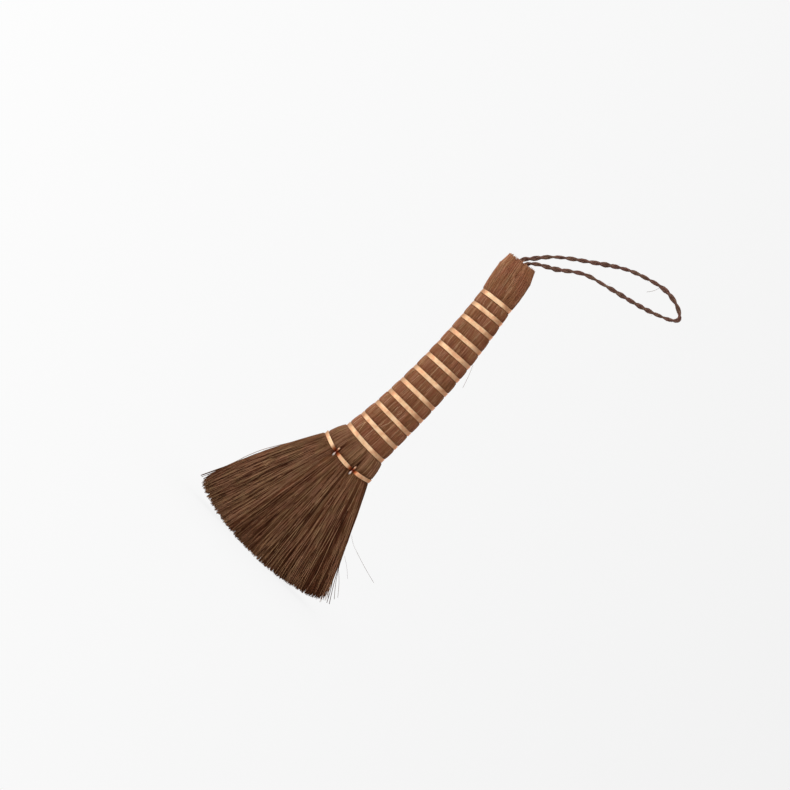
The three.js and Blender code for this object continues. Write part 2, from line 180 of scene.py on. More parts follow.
def strand_mesh(name, paths, radii, sides=3, reference=(0, 1, 0), flatten=1.0, attributes=None):
    """One mesh of many round strands. paths is (strands, steps, 3) in mm, radii is (strands, steps).
    flatten squeezes each section along the direction that is square to reference."""
    paths = np.asarray(paths, float)
    count, steps, _ = paths.shape
    radii = np.broadcast_to(np.asarray(radii, float), (count, steps))
    tangent = unit(np.gradient(paths, axis=1))
    side = unit(np.cross(tangent, np.broadcast_to(np.asarray(reference, float), tangent.shape)))
    up = np.cross(side, tangent)
    angle = TAU * np.arange(sides) / sides
    ring = (
        side[:, :, None, :] * (np.cos(angle)[None, None, :, None] * flatten)
        + up[:, :, None, :] * np.sin(angle)[None, None, :, None]
    )
    points = paths[:, :, None, :] + ring * radii[:, :, None, None]
    vertices = to_frame(points.reshape(-1, 3))
    corners, starts, uv = strand_faces(count, steps, sides)

    mesh = bpy.data.meshes.new(name)
    mesh.vertices.add(len(vertices))
    mesh.vertices.foreach_set("co", vertices.reshape(-1).astype(np.float32))
    mesh.loops.add(len(corners))
    mesh.loops.foreach_set("vertex_index", corners.astype(np.int32))
    mesh.polygons.add(len(starts))
    mesh.polygons.foreach_set("loop_start", starts.astype(np.int32))
    mesh.update(calc_edges=True)
    mesh.polygons.foreach_set("use_smooth", np.ones(len(starts), bool))
    layer = mesh.uv_layers.new(name="OFBake")
    layer.data.foreach_set("uv", uv.reshape(-1).astype(np.float32))
    for key, values in (attributes or {}).items():
        values = np.asarray(values, float)
        values = values[:, None, None] if values.ndim == 1 else values[:, :, None]
        per_point = np.broadcast_to(values, (count, steps, sides))
        attribute = mesh.attributes.new(key, "FLOAT", "POINT")
        attribute.data.foreach_set("value", per_point.reshape(-1).astype(np.float32))
    mesh.validate()
    return new_object(name, mesh)


def new_object(name, mesh):
    piece = bpy.data.objects.new(name, mesh)
    bpy.context.collection.objects.link(piece)
    return piece


def loft_mesh(name, rings):
    """A closed skin through rings of points, capped at both ends. rings is (rings, points, 3) in mm."""
    rings = np.asarray(rings, float)
    rows, columns, _ = rings.shape
    faces = []
    for i in range(rows - 1):
        for k in range(columns):
            m = (k + 1) % columns
            faces.append((i * columns + k, i * columns + m, (i + 1) * columns + m, (i + 1) * columns + k))
    faces.append(tuple(range(columns))[::-1])
    faces.append(tuple((rows - 1) * columns + k for k in range(columns)))
    mesh = bpy.data.meshes.new(name)
    mesh.from_pydata([tuple(p) for p in to_frame(rings.reshape(-1, 3))], [], faces)
    mesh.update()
    mesh.polygons.foreach_set("use_smooth", [True] * len(mesh.polygons))
    return new_object(name, mesh)


def smooth_noise(count, z, scales, sizes):
    """Slow random waves along z, one curve per strand: (count, len(z))."""
    z = np.asarray(z, float)
    total = np.zeros((count, len(z)))
    for scale, size in zip(scales, sizes):
        phase = rng.uniform(0, TAU, (count, 1))
        stretch = rng.uniform(0.7, 1.3, (count, 1))
        total += size * np.sin(z[None, :] * stretch * TAU / scale + phase)
    return total


def locks(place, narrow, wide):
    """Sort positions (mm) into locks of fibre of uneven width: each strand's lock number."""
    low, high = place.min(), place.max()
    enough = int(2.2 * (high - low) / (narrow + wide)) + 4
    edges = low + np.cumsum(rng.uniform(narrow, wide, enough))
    return np.searchsorted(edges, place)


def strand_tones(lock, spread=0.10, level=0.46, own=0.12):
    """Tone of each strand: part of it shared by its lock, the rest its own. A few are very light or dark."""
    light_share, dark_share = 0.06, 0.10
    shared = rng.normal(0, spread, lock.max() + 1)[lock]
    tone = level + shared + rng.normal(0, own, len(lock))
    chance = rng.random(len(lock))
    tone = np.where(chance > 1 - light_share, tone + 2.5 * own, tone)
    tone = np.where(chance < dark_share, tone - 2.0 * own, tone)
    return np.clip(tone, 0, 1)


def warmths(count):
    """How far each strand's colour leans to red."""
    return np.clip(rng.normal(0.35, 0.3, count), 0, 1)


# ---- materials ----


class Shader:
    """A short way to write a node material."""

    def __init__(self, name):
        self.material = bpy.data.materials.new(name)
        self.material.use_nodes = True
        self.tree = self.material.node_tree
        self.surface = self.tree.nodes["Principled BSDF"]

    def node(self, kind, settings=None, **inputs):
        made = self.tree.nodes.new(kind)
        for key, value in (settings or {}).items():
            setattr(made, key, value)
        for key, value in inputs.items():
            self.put(made, key.replace("_", " "), value)
        return made

    def put(self, node, key, value):
        """Set or link an input. A key such as #0 is its place, where inputs share a name."""
        socket = node.inputs[int(key[1:])] if key[0] == "#" else node.inputs[key]
        if isinstance(value, bpy.types.NodeSocket):
            self.tree.links.new(value, socket)
        else:
            socket.default_value = value

    def surface_inputs(self, **inputs):
        for key, value in inputs.items():
            self.put(self.surface, key.replace("_", " "), value)

    def math(self, operation, a, b=0.0):
        made = self.tree.nodes.new("ShaderNodeMath")
        made.operation = operation
        self.put(made, "#0", a)
        self.put(made, "#1", b)
        return made.outputs[0]

    def mix(self, factor, a, b, blend="MIX"):
        made = self.tree.nodes.new("ShaderNodeMix")
        made.data_type = "RGBA"
        made.blend_type = blend
        self.put(made, "#0", factor)
        self.put(made, "#6", a)
        self.put(made, "#7", b)
        return made.outputs[2]

    def ramp(self, factor, stops):
        made = self.tree.nodes.new("ShaderNodeValToRGB")
        elements = made.color_ramp.elements
        while len(elements) < len(stops):
            elements.new(0.5)
        for element, (position, colour) in zip(elements, stops):
            element.position = position
            element.color = (*colour, 1)
        self.put(made, "Fac", factor)
        return made.outputs["Color"]

    def attribute(self, name):
        return self.node("ShaderNodeAttribute", {"attribute_name": name}).outputs["Fac"]

    def noise(self, scale, detail=2.0, stretch=(1, 1, 1)):
        place = self.node("ShaderNodeTexCoord").outputs["Object"]
        mapped = self.node("ShaderNodeMapping", Vector=place, Scale=stretch).outputs["Vector"]
        made = self.node("ShaderNodeTexNoise", Vector=mapped, Scale=scale, Detail=detail)
        return made.outputs["Fac"]

    def bump(self, height, strength, distance):
        made = self.node("ShaderNodeBump", Height=height, Strength=strength, Distance=distance)
        self.put(self.surface, "Normal", made.outputs["Normal"])


def fibre_material(name, dark, middle, light, red, patch):
    """Palm fibre: each strand has its own tone, with slow changes of colour along it, patch strong."""
    shade = Shader(name)
    along = shade.noise(230, 3.0, (1, 1, 0.35))
    drift = shade.math("MULTIPLY", shade.math("SUBTRACT", along, 0.5), patch)
    tone = shade.math("ADD", shade.attribute("tone"), drift)
    base = shade.ramp(tone, [(0.0, dark), (0.5, middle), (1.0, light)])
    reddish = shade.mix(shade.math("MULTIPLY", shade.attribute("warmth"), 0.5), base, (*red, 1))
    pinkish, greenish = (1.0, 0.945, 0.965), (0.965, 1.0, 0.94)
    hues = shade.ramp(shade.noise(190, 2.0, (1, 1, 0.6)), [(0.4, pinkish), (0.6, greenish)])
    varied = shade.mix(1.0, reddish, hues, "MULTIPLY")
    fine = shade.noise(2600, 2.0, (1, 1, 0.2))
    specks = shade.ramp(fine, [(0.3, (0.35, 0.32, 0.3)), (0.7, (1, 1, 1))])
    speckled = shade.mix(0.3, varied, specks, "MULTIPLY")
    shade.surface_inputs(Base_Color=speckled, Roughness=0.62, Specular_IOR_Level=0.08)
    shade.bump(fine, 0.25, 0.00005)
    return shade.material


def copper_material():
    """Drawn copper wire, with painted shade: redder and duller where it faces the brush's sides, most on the
    right, which turns from the lamp, and dark red in the recesses where the stitches squeeze it; a painted
    highlight turns the stitches' ends nearly white.
    """
    shade = Shader("copper_wire")
    patches = shade.noise(330, 3.0)
    drawn = shade.noise(1500, 2.0, (0.2, 0.2, 1))
    normal = shade.node("ShaderNodeNewGeometry").outputs["Normal"]
    sideways = shade.node("ShaderNodeSeparateXYZ", Vector=normal).outputs["X"]
    # Painted shade: the wire is toned redder and duller where it faces the brush's two sides, and most where
    # it faces right, away from the lamp.
    edge = shade.math("POWER", shade.math("ABSOLUTE", sideways), 1.5)
    rightward = shade.node("ShaderNodeClamp", Value=sideways).outputs[0]
    painted_side_shade = shade.math("ADD", shade.math("MULTIPLY", edge, 0.45), shade.math("MULTIPLY", rightward, 0.5))
    dull, plain, fresh = (0.84, 0.47, 0.27), (0.95, 0.63, 0.37), (0.99, 0.70, 0.45)
    blotches = shade.ramp(patches, [(0.36, dull), (0.5, plain), (0.62, fresh)])
    side_shaded = shade.mix(painted_side_shade, blotches, (0.66, 0.26, 0.115, 1))
    # Painted shade: the wire turns dark red, then nearly black, in the recesses where the stitches pull the
    # collar in and where a stitch lies over it.
    recess_shade = shade.attribute("recess_shade")
    first_half = shade.math("MINIMUM", shade.math("MULTIPLY", recess_shade, 2.2), 1.0)
    recess_reddened = shade.mix(first_half, side_shaded, (0.52, 0.15, 0.055, 1))
    second_half = shade.math("MAXIMUM", shade.math("SUBTRACT", shade.math("MULTIPLY", recess_shade, 2.0), 1.0), 0.0)
    pinched_and_shaded = shade.mix(second_half, recess_reddened, (0.16, 0.018, 0.004, 1))
    # Painted highlight: the stitches' ends are turned nearly white and a little glossier.
    bright = shade.mix(shade.attribute("painted_highlight"), pinched_and_shaded, (1.0, 0.93, 0.88, 1))
    rough = shade.math("ADD", 0.34, shade.math("MULTIPLY", patches, 0.2))
    rough = shade.math("SUBTRACT", rough, shade.math("MULTIPLY", shade.attribute("painted_highlight"), 0.15))
    shade.surface_inputs(Base_Color=bright, Metallic=1.0, Roughness=rough)
    shade.bump(drawn, 0.12, 0.00004)
    return shade.material


def bamboo_material():
    shade = Shader("bamboo")
    grain = shade.noise(900, 4.0, (0.06, 1, 1))
    straw = shade.mix(grain, (0.62, 0.45, 0.22, 1), (0.80, 0.66, 0.40, 1))
    shade.surface_inputs(Base_Color=straw, Roughness=0.5)
    shade.bump(grain, 0.3, 0.0001)
    return shade.material


HANDLE_FIBRE = fibre_material(
    "palm_fibre", dark=(0.125, 0.048, 0.018), middle=(0.343, 0.141, 0.065), light=(0.78, 0.48, 0.29),
    red=(0.38, 0.112, 0.062), patch=0.35,
)
BRISTLE_FIBRE = fibre_material(
    "bristle_fibre", dark=(0.040, 0.010, 0.002), middle=(0.162, 0.066, 0.026), light=(0.52, 0.29, 0.16),
    red=(0.19, 0.053, 0.027), patch=0.3,
)
CORD_FIBRE = fibre_material(
    "cord_fibre", dark=(0.050, 0.025, 0.018), middle=(0.195, 0.105, 0.075), light=(0.40, 0.27, 0.20),
    red=(0.24, 0.095, 0.075), patch=0.6,
)
COPPER = copper_material()
BAMBOO = bamboo_material()


def dress(piece, material):
    piece.data.materials.clear()
    piece.data.materials.append(material)


def fix_to_handle(piece, material, node=None):
    """Dress a piece that doesn't move on the handle, in place of a CAD node if one is named."""
    dress(piece, material)
    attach(piece, "handle")
    if node:
        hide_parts(node)


# ---- handle: bound stems ----

SINK = 0.55  # how deep a winding presses the fibre in
LAYER = 0.45  # the strands' middles lie this far inside the outline
BULGE = 0.3  # of the fibre between two windings
GROOVE_FLOOR, GROOVE_RIM, GROOVE_WALL = 1.5, 1.9, 0.4  # half heights of a winding's groove, and its slope
END_FLARE = 1.2  # of the handle's end, past the last winding
END_DOME, DOME_HEIGHT = 1.9, 9  # how far the cut end is rounded in, over what height
PACKING_DEPTH = 0.7  # the packed fibre lies this far inside the strands
STEM_STRANDS = 1000
STEM_RADII = 0.15, 0.26
HAIRS_PER_BAY = 9
END_FIBRES = 1500


def press(z):
    """How far the strands' middles stand off the outline at height z: in under a winding, out between."""
    z = np.asarray(z, float)
    out = np.full(z.shape, -LAYER)
    edges = [0.0] + BAND_HEIGHTS
    for low, high in zip(edges[:-1], edges[1:]):
        inside = (z > low) & (z < high)
        out = np.where(inside, BULGE * np.sin(math.pi * (z - low) / (high - low)) - LAYER, out)
    above = np.maximum(z - BAND_HEIGHTS[-1], 0)
    out = out + END_FLARE * (1 - np.exp(-above / 5))
    for level in edges:
        out = out - SINK * np.clip((GROOVE_RIM - np.abs(z - level)) / GROOVE_WALL, 0, 1)
    return out


def rounded_in(z, start):
    """How far the handle's end is drawn in at height z, from the height start upwards."""
    return END_DOME * np.clip((z - start) / DOME_HEIGHT, 0, 1) ** 2


def handle_levels():
    """Heights of the handle strands' points: close together beside each winding's groove."""
    levels, near = [], np.array([GROOVE_FLOOR, GROOVE_RIM, 3.3])
    for low, high in zip(BAND_HEIGHTS[:-1], BAND_HEIGHTS[1:]):
        levels += [*(low + near), (low + high) / 2, *(high - near[::-1])]
    ends = BAND_HEIGHTS[-1] + np.array([GROOVE_FLOOR, GROOVE_RIM, 4, 8, 13, 19])
    return np.array([BAND_HEIGHTS[0], *levels, *ends, HANDLE_TOP + 0.5])


def even_angles(count):
    """Angles spread evenly along the handle's outline, and their arc positions in mm."""
    probe_angle = np.linspace(0, TAU, 721)
    probe = outline_point(70.0, probe_angle)
    arc = np.concatenate([[0], np.cumsum(np.linalg.norm(np.diff(probe, axis=0), axis=1))])
    place = rng.uniform(0, arc[-1], count)
    return np.interp(place, arc, probe_angle), place


def stem_strands():
    """The strands seen round the handle, from the first winding up, split into the three bundles."""
    levels, count = handle_levels(), STEM_STRANDS
    angle0, place = even_angles(count)
    lock = locks(place, 0.3, 0.9)
    relief = rng.normal(0, 0.06, lock.max() + 1)[lock]
    layer = 0.1 - np.abs(rng.normal(0, 0.4, count)) + relief
    angle = angle0[:, None] + smooth_noise(count, levels, (90, 37), (0.02, 0.012))
    jitter = layer[:, None] + smooth_noise(count, levels, (30, 13), (0.12, 0.08))
    grow = press(levels)[None, :] + np.minimum(jitter, 0.14)
    z = np.broadcast_to(levels[None, :], angle.shape).copy()
    z[:, -1] += rng.normal(0, 0.5, count)
    paths = outline_point(z, angle, grow - rounded_in(levels, HANDLE_TOP - DOME_HEIGHT)[None, :])
    radii = rng.uniform(*STEM_RADII, count)
    tones, warmth = strand_tones(lock, 0.05, 0.53, 0.08), warmths(count)
    share = (paths[:, len(levels) // 2, 0] - middle_x(75.0)) / station(75.0)[0]
    for side, word in SIDES:
        mine = np.abs(share) <= SPLIT_SHARE if side == 0 else side * share > SPLIT_SHARE
        piece = strand_mesh(
            f"stem_fibres_{word}", paths[mine], radii[mine][:, None],
            attributes={"tone": tones[mine], "warmth": warmth[mine]},
        )
        fix_to_handle(piece, HANDLE_FIBRE, f"stem_{word}")


def handle_hairs():
    """Thin light fibres that lie a little askew over the others, bay by bay, and one that stands off."""
    hairs = []
    for low, high in zip(BAND_HEIGHTS, BAND_HEIGHTS[1:] + [HANDLE_TOP - 4]):
        angles, _ = even_angles(HAIRS_PER_BAY)
        for angle in angles:
            first, last = sorted(rng.uniform(low + 1.2, high - 1.2, 2))
            if last - first < 3:
                first, last = low + 1.3, high - 1.3
            z = np.linspace(first, last, 7)
            way = np.linspace(-1, 1, 7)
            slant = rng.normal(0, 0.035) * way + rng.normal(0, 0.02) * way**2
            hairs.append(outline_point(z, angle + slant, press(z) + 0.24))
    standing_off = [[13.3, -2, 88.6], [14.4, -2.4, 86.2], [15.5, -2.6, 83.6], [16.4, -2.6, 81.2],
                    [17.2, -2.5, 79], [17.9, -2.3, 76.9], [18.5, -2.2, 74.9]]
    hairs.append(np.array(standing_off))
    count = len(hairs)
    light = rng.random(count) < 0.75
    tones = np.where(light, rng.uniform(0.65, 0.95, count), rng.uniform(0.0, 0.15, count))
    tones[-1] = 0.2
    radii = np.append(rng.uniform(0.10, 0.17, count - 1), 0.10)
    piece = strand_mesh(
        "handle_hairs", np.array(hairs), radii[:, None],
        attributes={"tone": tones, "warmth": warmths(count) * 0.5},
    )
    fix_to_handle(piece, HANDLE_FIBRE)


def set_tone(piece, value):
    tone = piece.data.attributes.new("tone", "FLOAT", "POINT")
    tone.data.foreach_set("value", np.full(len(piece.data.vertices), value, np.float32))


def handle_packing():
    """The packed fibre under the visible strands, toned dark as painted shade in the gaps between them."""
    levels = np.concatenate([[-11, -6, -3, 0, 3, 8], handle_levels()[:-1]])
    angle = np.linspace(0, TAU, 96, endpoint=False)
    rings = []
    for z in levels:
        grow = press(z) - PACKING_DEPTH - rounded_in(z, HANDLE_TOP - 1.5 * DOME_HEIGHT)
        rings.append(outline_point(np.full(angle.shape, z), angle, grow))
    core = loft_mesh("handle_packing", rings)
    # Painted shade: the packing is toned dark where it shows between the strands.
    set_tone(core, 0.15)
    fix_to_handle(core, HANDLE_FIBRE)


def handle_end():
    """The cut ends of the fibres inside the handle, with a hollow where the cord comes out."""
    count = END_FIBRES
    u, v = cross_section(count)
    z = np.array([HANDLE_TOP - 12, HANDLE_TOP - 5, HANDLE_TOP + 0.4])
    half_width, half_depth = station(z)
    shrink = np.array([0.88, 0.86, 0.83])
    x = middle_x(z)[None, :] + u[:, None] * (half_width * shrink)[None, :]
    y = (v * section_depth(u))[:, None] * (half_depth * shrink)[None, :]
    height = ring_height(np.broadcast_to(z, x.shape), x)
    height[:, -1] += rng.normal(0, 0.35, count) - 1.2 * (u**2 + v**2)
    away = np.hypot(x[:, -1] - middle_x(HANDLE_TOP), y[:, -1])
    height[:, -1] -= 2.2 * np.exp(-((away / 2.6) ** 2))
    lock = locks(x[:, -1], 0.6, 1.8)
    ends = strand_mesh(
        "handle_end_fibres", np.stack([x, y, height], -1), rng.uniform(0.17, 0.25, (count, 1)),
        attributes={"tone": strand_tones(lock), "warmth": warmths(count)},
    )
    fix_to_handle(ends, HANDLE_FIBRE)


def section_depth(u):
    """The body's thickness at width share u, as a share of its greatest."""
    return np.minimum(FLAT_SHARE, (1 - np.abs(u) ** OUTLINE_POWER) ** (1 / OUTLINE_POWER))


def cross_section(count, low=-1.0, high=1.0):
    """Width and depth shares of strands spread evenly over the body's section between low and high."""
    u = rng.uniform(low, high, count * 3)
    u = u[rng.random(len(u)) < section_depth(u)][:count]
    while len(u) < count:
        more = rng.uniform(low, high, count)
        u = np.concatenate([u, more[rng.random(count) < section_depth(more)]])[:count]
    return u, rng.uniform(-1, 1, count)


# ---- fan: the free tufts ----

NECK_LEVELS = FIRST_BAND + np.array([0.6, -1.5, -1.9, -3.4, -6.4, -9.4, -11.1, -11.5, -13.0, -14.5, -14.9])
FAN_STEPS = np.concatenate([[0.025, 0.06], np.linspace(0.105, 1, 17)])
FILLING_STEPS = np.array([0.03, 0.08, 0.16, 0.28, 0.44, 0.58, 0.72, 0.86, 1.0])
SLIT, SLIT_FADE = 0.32, 5.0  # how far the bundles part at the stitches, and over what height
FACE_STRANDS = 860  # on each face of a tuft
FACE_HAIRS = 50  # lying over the others on each face
FILLING = 1250  # strands inside a tuft
FILLING_DEPTH = 0.84  # how far towards the faces they lie, as a share of the fan's half thickness
# Painted light and shade: the left tuft is toned lighter, as lit from the left, and the right one darker, as
# in shade.
TUFT_TONES_LIT_LEFT = {-1: 0.82, 0: 0.50, 1: 0.38}
EDGE_BOW = 1.3, 1.0  # the fan's left and right edges swell out by this
LOOSE_EDGE = 4.2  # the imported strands' tips lie this far inside the fan's left corner


def tuft_range(side):
    low = -1 if side < 0 else (-SPLIT_SHARE if side == 0 else SPLIT_SHARE)
    high = 1 if side > 0 else (SPLIT_SHARE if side == 0 else -SPLIT_SHARE)
    return low, high


def fan_tip_height(x):
    return FAN_TIP + FAN_TIP_RADIUS - np.sqrt(FAN_TIP_RADIUS**2 - (x - LEAN) ** 2)


FAN_TIP_HALF = float(station(-16)[0]) + FAN_SLOPE * (-16 - float(fan_tip_height(46.0)))


def corner(x):
    """0 in the fan's middle, rising to 1 at its two corners."""
    return np.clip((np.abs(x) / FAN_TIP_HALF - 0.7) / 0.3, 0, 1)


def kept_in(x):
    """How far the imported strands' tips lie inside the left corner."""
    return LOOSE_EDGE * np.where(x < 0, corner(x), 0) ** 3


def in_slit(u, z, side):
    """How far a strand is from a split, signed, in mm, and how strong the slit is at height z."""
    return (u[:, None] - side * SPLIT_SHARE) * station(z)[0], np.exp(-((z / SLIT_FADE) ** 2))


def opened(x, u, z):
    """Part the strands at the two splits, near the collar."""
    for side in (-1, 1):
        gap, strength = in_slit(u, z, side)
        x = x + np.sign(gap) * SLIT * np.exp(-((gap / 1.6) ** 2)) * strength
    return x


def neck_rows(u, v, levels=NECK_LEVELS, parted=True):
    """The bound part of each strand, from under the first winding down through the collar."""
    z = levels[None, :]
    half_width, half_depth = station(z)
    grow = press(z)
    x = middle_x(z) + u[:, None] * (half_width + grow)
    if parted:
        x = opened(x, u, z)
    grow = grow + smooth_noise(len(u), levels, (23, 11), (0.1, 0.08))
    y = (v * section_depth(u))[:, None] * (half_depth + grow) * pinch(x, z)
    return np.stack([x, y, ring_height(np.broadcast_to(z, x.shape), x)], -1)


def fan_rows(start, u, tip_x, tip_y, tip_z, gather=0.0, reach=1.0, steps=FAN_STEPS):
    """The free part of each strand: nearly straight across, quickly taking up the fan's thickness.
    gather bends the last part of each strand sideways, to where its tip meets its neighbours'.
    reach is the share of the way to its tip that each strand comes."""
    t = steps[None, :] * np.reshape(reach, (-1, 1))
    left, right = (bow * np.clip(side * u / 0.4 - 1.5, 0, 1)[:, None] for bow, side in zip(EDGE_BOW, (-1, 1)))
    swell = right * np.sin(math.pi * t**0.75) - left * np.sin(math.pi * t)
    x = start[:, 0:1] + (tip_x - start[:, 0])[:, None] * t + np.reshape(gather, (-1, 1)) * t**3 + swell
    y = start[:, 1:2] + (tip_y - start[:, 1])[:, None] * (1 - (1 - t) ** 1.6)
    z = start[:, 2:3] + (tip_z - start[:, 2])[:, None] * t
    open_start = opened(np.zeros((len(u), 1)), u, NECK_LEVELS[None, -1:])
    x = x + opened(np.zeros_like(x), u, z) - open_start * (1 - t)
    return np.stack([x, y, z], -1)


def tip_depth(u, v):
    return v * FAN_TIP_DEPTH * (1 - 0.45 * np.abs(u) ** 3)


def fan_sway(count, size, steps=FAN_STEPS):
    """Sideways waves of free strands, and waves in and out so that they pass over and under each other."""
    x = smooth_noise(count, steps * 75, (70, 33, 15), (0.5 * size, 0.3 * size, 0.08 * size)) * steps
    y = smooth_noise(count, steps * 75, (50, 23, 12), (0.4 * size, 0.35 * size, 0.2 * size)) * steps**0.4
    return np.stack([x, y], -1)


def gathering_points(side):
    """Where a tuft's tips gather: closer in the fan's middle, in looser points towards its corners."""
    low, high = (share * FAN_TIP_HALF for share in tuft_range(side))
    points = [low + 0.2]
    while points[-1] < high:
        points.append(points[-1] + rng.uniform(0.9, 1.7) * (1 + 0.5 * float(corner(points[-1]))))
    return np.array(points[:-1])


def tips(u, points, rough=1.0):
    """Each strand's tip: its place across the fan, the sideways bend to its point, its height, how much of
    the way there it reaches, and the number of its point."""
    x = u * FAN_TIP_HALF
    near = np.abs(x[:, None] - points[None, :]).argmin(axis=1)
    edge = corner(x)
    off = points[near] - x
    gather = off * (0.5 + 0.4 * edge) * rng.uniform(0.7, 1.1, len(x)) + kept_in(x)
    x = x * (1 - 0.04 * np.where(x > 0, edge, 0) ** 2) + rng.normal(0, 0.2, len(x))
    height = fan_tip_height(np.clip(x + LEAN, -62, 62)) + rng.exponential(0.5, len(x)) * rough - 0.9
    height = height + np.abs(off) * (1.6 + 3.2 * edge) + 0.4 * np.sin(points * 2.9)[near]
    short = rng.random(len(x)) < 0.04 + 0.8 * edge
    reach = np.where(short, 1 - np.minimum(rng.exponential(0.045, len(x)) * (0.4 + edge), 0.4), 1)
    return LEAN + x, gather, height, reach, near


def spread_out(u):
    """Move most of the strands at the fan's two edges inwards, so that the edges come out loose."""
    moved = (np.abs(u) > 0.94) & (rng.random(len(u)) < 0.6)
    return np.where(moved, u * rng.uniform(0.8, 0.97, len(u)), u)


def face_strands(side, face, points):
    """The strands seen on one face of a tuft: they lie over each other, the deeper ones toned darker with
    painted shade.
    """
    u = spread_out(rng.uniform(*tuft_range(side), FACE_STRANDS))
    deep = 1.5 * np.sqrt(rng.random(FACE_STRANDS))
    tip_x, gather, tip_z, reach, near = tips(u, points)
    tip_y = tip_depth(u, face) - face * deep
    neck = neck_rows(u, face * (1 - 0.06 * deep))
    free = fan_rows(neck[:, -1], u, tip_x, tip_y, tip_z, gather, reach)
    sway = fan_sway(FACE_STRANDS, 0.8)
    free[:, :, :2] += sway
    # Painted shade: a strand is toned darker where it lies deeper than those over it.
    lift = face * sway[:, :, 1] - deep[:, None] * np.minimum(3 * FAN_STEPS, 1)
    shade = np.clip(0.6 * (lift - np.quantile(lift, 0.9, axis=0)), -0.3, 0.18)
    shade = np.pad(shade, ((0, 0), (neck.shape[1], 0)))
    tones = strand_tones(near, 0.02, TUFT_TONES_LIT_LEFT[side], 0.12)[:, None] + shade
    return np.concatenate([neck, free], axis=1), u, rng.uniform(0.17, 0.27, FACE_STRANDS), tones


def crossing_strands(side, face):
    """Single lighter and darker strands lying over the face, a few of them askew."""
    low, high = tuft_range(side)
    u = rng.uniform(low + 0.03, high - 0.03, FACE_HAIRS)
    v = np.full(FACE_HAIRS, face * 1.03)
    askew = np.where(rng.random(FACE_HAIRS) < 0.15, 0.10, 0.025)
    tip_u = np.clip(u + rng.normal(0, 1, FACE_HAIRS) * askew, low - 0.02, high + 0.02)
    tip_u = np.clip(tip_u, -0.985, 0.985)
    tip_x = LEAN + tip_u * FAN_TIP_HALF
    tip_y = tip_depth(tip_u, v) + face * rng.uniform(0.3, 0.9, FACE_HAIRS)
    tip_z = fan_tip_height(tip_x) + rng.exponential(1.5, FACE_HAIRS) - 0.8
    neck = neck_rows(u, v)
    free = fan_rows(neck[:, -1], u, tip_x, tip_y, tip_z, kept_in(tip_u * FAN_TIP_HALF))
    free[:, :, :2] += fan_sway(FACE_HAIRS, 1.2)
    light = rng.random(FACE_HAIRS) < 0.62
    tones = np.where(light, rng.uniform(0.7, 0.95, FACE_HAIRS), rng.uniform(0.0, 0.2, FACE_HAIRS))
    radii = rng.uniform(0.19, 0.27, FACE_HAIRS)
    paths = np.concatenate([neck, free], axis=1)
    return paths, u, radii, np.repeat(tones[:, None], paths.shape[1], axis=1)


def dress_tuft(piece):
    dress(piece, BRISTLE_FIBRE)
    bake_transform(piece)


def shaded(tones, u, z):
    """Tone along each strand: even and light where it is bound, with painted shade in the slits beside the
    stitches and along the upper part of the fan's right edge, which turns from the lamp."""
    loose = 0.35 + 0.65 * np.clip(-z / 25, 0, 1)
    tones = 0.52 + (tones - 0.52) * loose + 0.17 * np.clip((z + 3) / 4, 0, 1)
    tones = tones + smooth_noise(len(u), np.linspace(0, 105, z.shape[1]), (19, 9), (0.06, 0.05)) * loose
    # Painted shade in the slits beside the stitches.
    for side in (-1, 1):
        gap, strength = in_slit(u, z, side)
        tones = tones - 0.8 * np.exp(-((gap / 0.45) ** 2)) * strength
    # Painted shade along the upper part of the right edge, which turns from the lamp.
    right_edge_shade = np.clip((u[:, None] - 0.88) / 0.08, 0, 1) * np.clip(1 + z / 60, 0, 1) * (z < -2)
    return tones - 0.3 * right_edge_shade


def tuft_strands(side, word, points):
    taper = np.concatenate([np.ones(len(NECK_LEVELS)), 1 - 0.45 * FAN_STEPS**4])
    for face, name in ((-1, "front"), (1, "back")):
        sets = [face_strands(side, face, points), crossing_strands(side, face)]
        paths, u, radii, tones = (np.concatenate(part) for part in zip(*sets))
        tones = shaded(tones, u, paths[:, :, 2])
        piece = strand_mesh(
            f"bristle_fibres_{word}_{name}", paths, radii[:, None] * taper[None, :],
            attributes={"tone": tones, "warmth": warmths(len(tones))},
        )
        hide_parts(f"bristles_{word}")
        dress_tuft(piece)


def tuft_filling(side, word, points):
    """The strands inside a tuft, seen at its tips and sides."""
    low, high = tuft_range(side)
    u, v = cross_section(FILLING, low, high)
    u = spread_out(u)
    v = v * FILLING_DEPTH
    neck = neck_rows(u, v, np.array([2.0, 0.0, -1.9]))
    tip_x, gather, tip_z, reach, near = tips(u, points, 1.3)
    tip_y = tip_depth(u, v) + rng.normal(0, 0.2, FILLING)
    free = fan_rows(neck[:, -1], u, tip_x, tip_y, tip_z, gather, reach, FILLING_STEPS)
    free[:, :, :2] += fan_sway(FILLING, 0.8, FILLING_STEPS)
    radii = rng.uniform(0.14, 0.24, (FILLING, 1))
    outside = np.clip((np.abs(u) - 0.78) / 0.15, 0, 1)  # 1 on the fan's two narrow sides
    # The filling is toned darker than the faces, painted shade inside the tuft, and lighter on the fan's two
    # narrow sides, painted light where they lie in shade.
    tones = strand_tones(near, 0.08, TUFT_TONES_LIT_LEFT[side] - 0.12) + 0.24 * outside
    piece = strand_mesh(
        f"bristle_filling_{word}", np.concatenate([neck, free], axis=1), radii,
        attributes={"tone": tones, "warmth": warmths(FILLING)},
    )
    dress_tuft(piece)


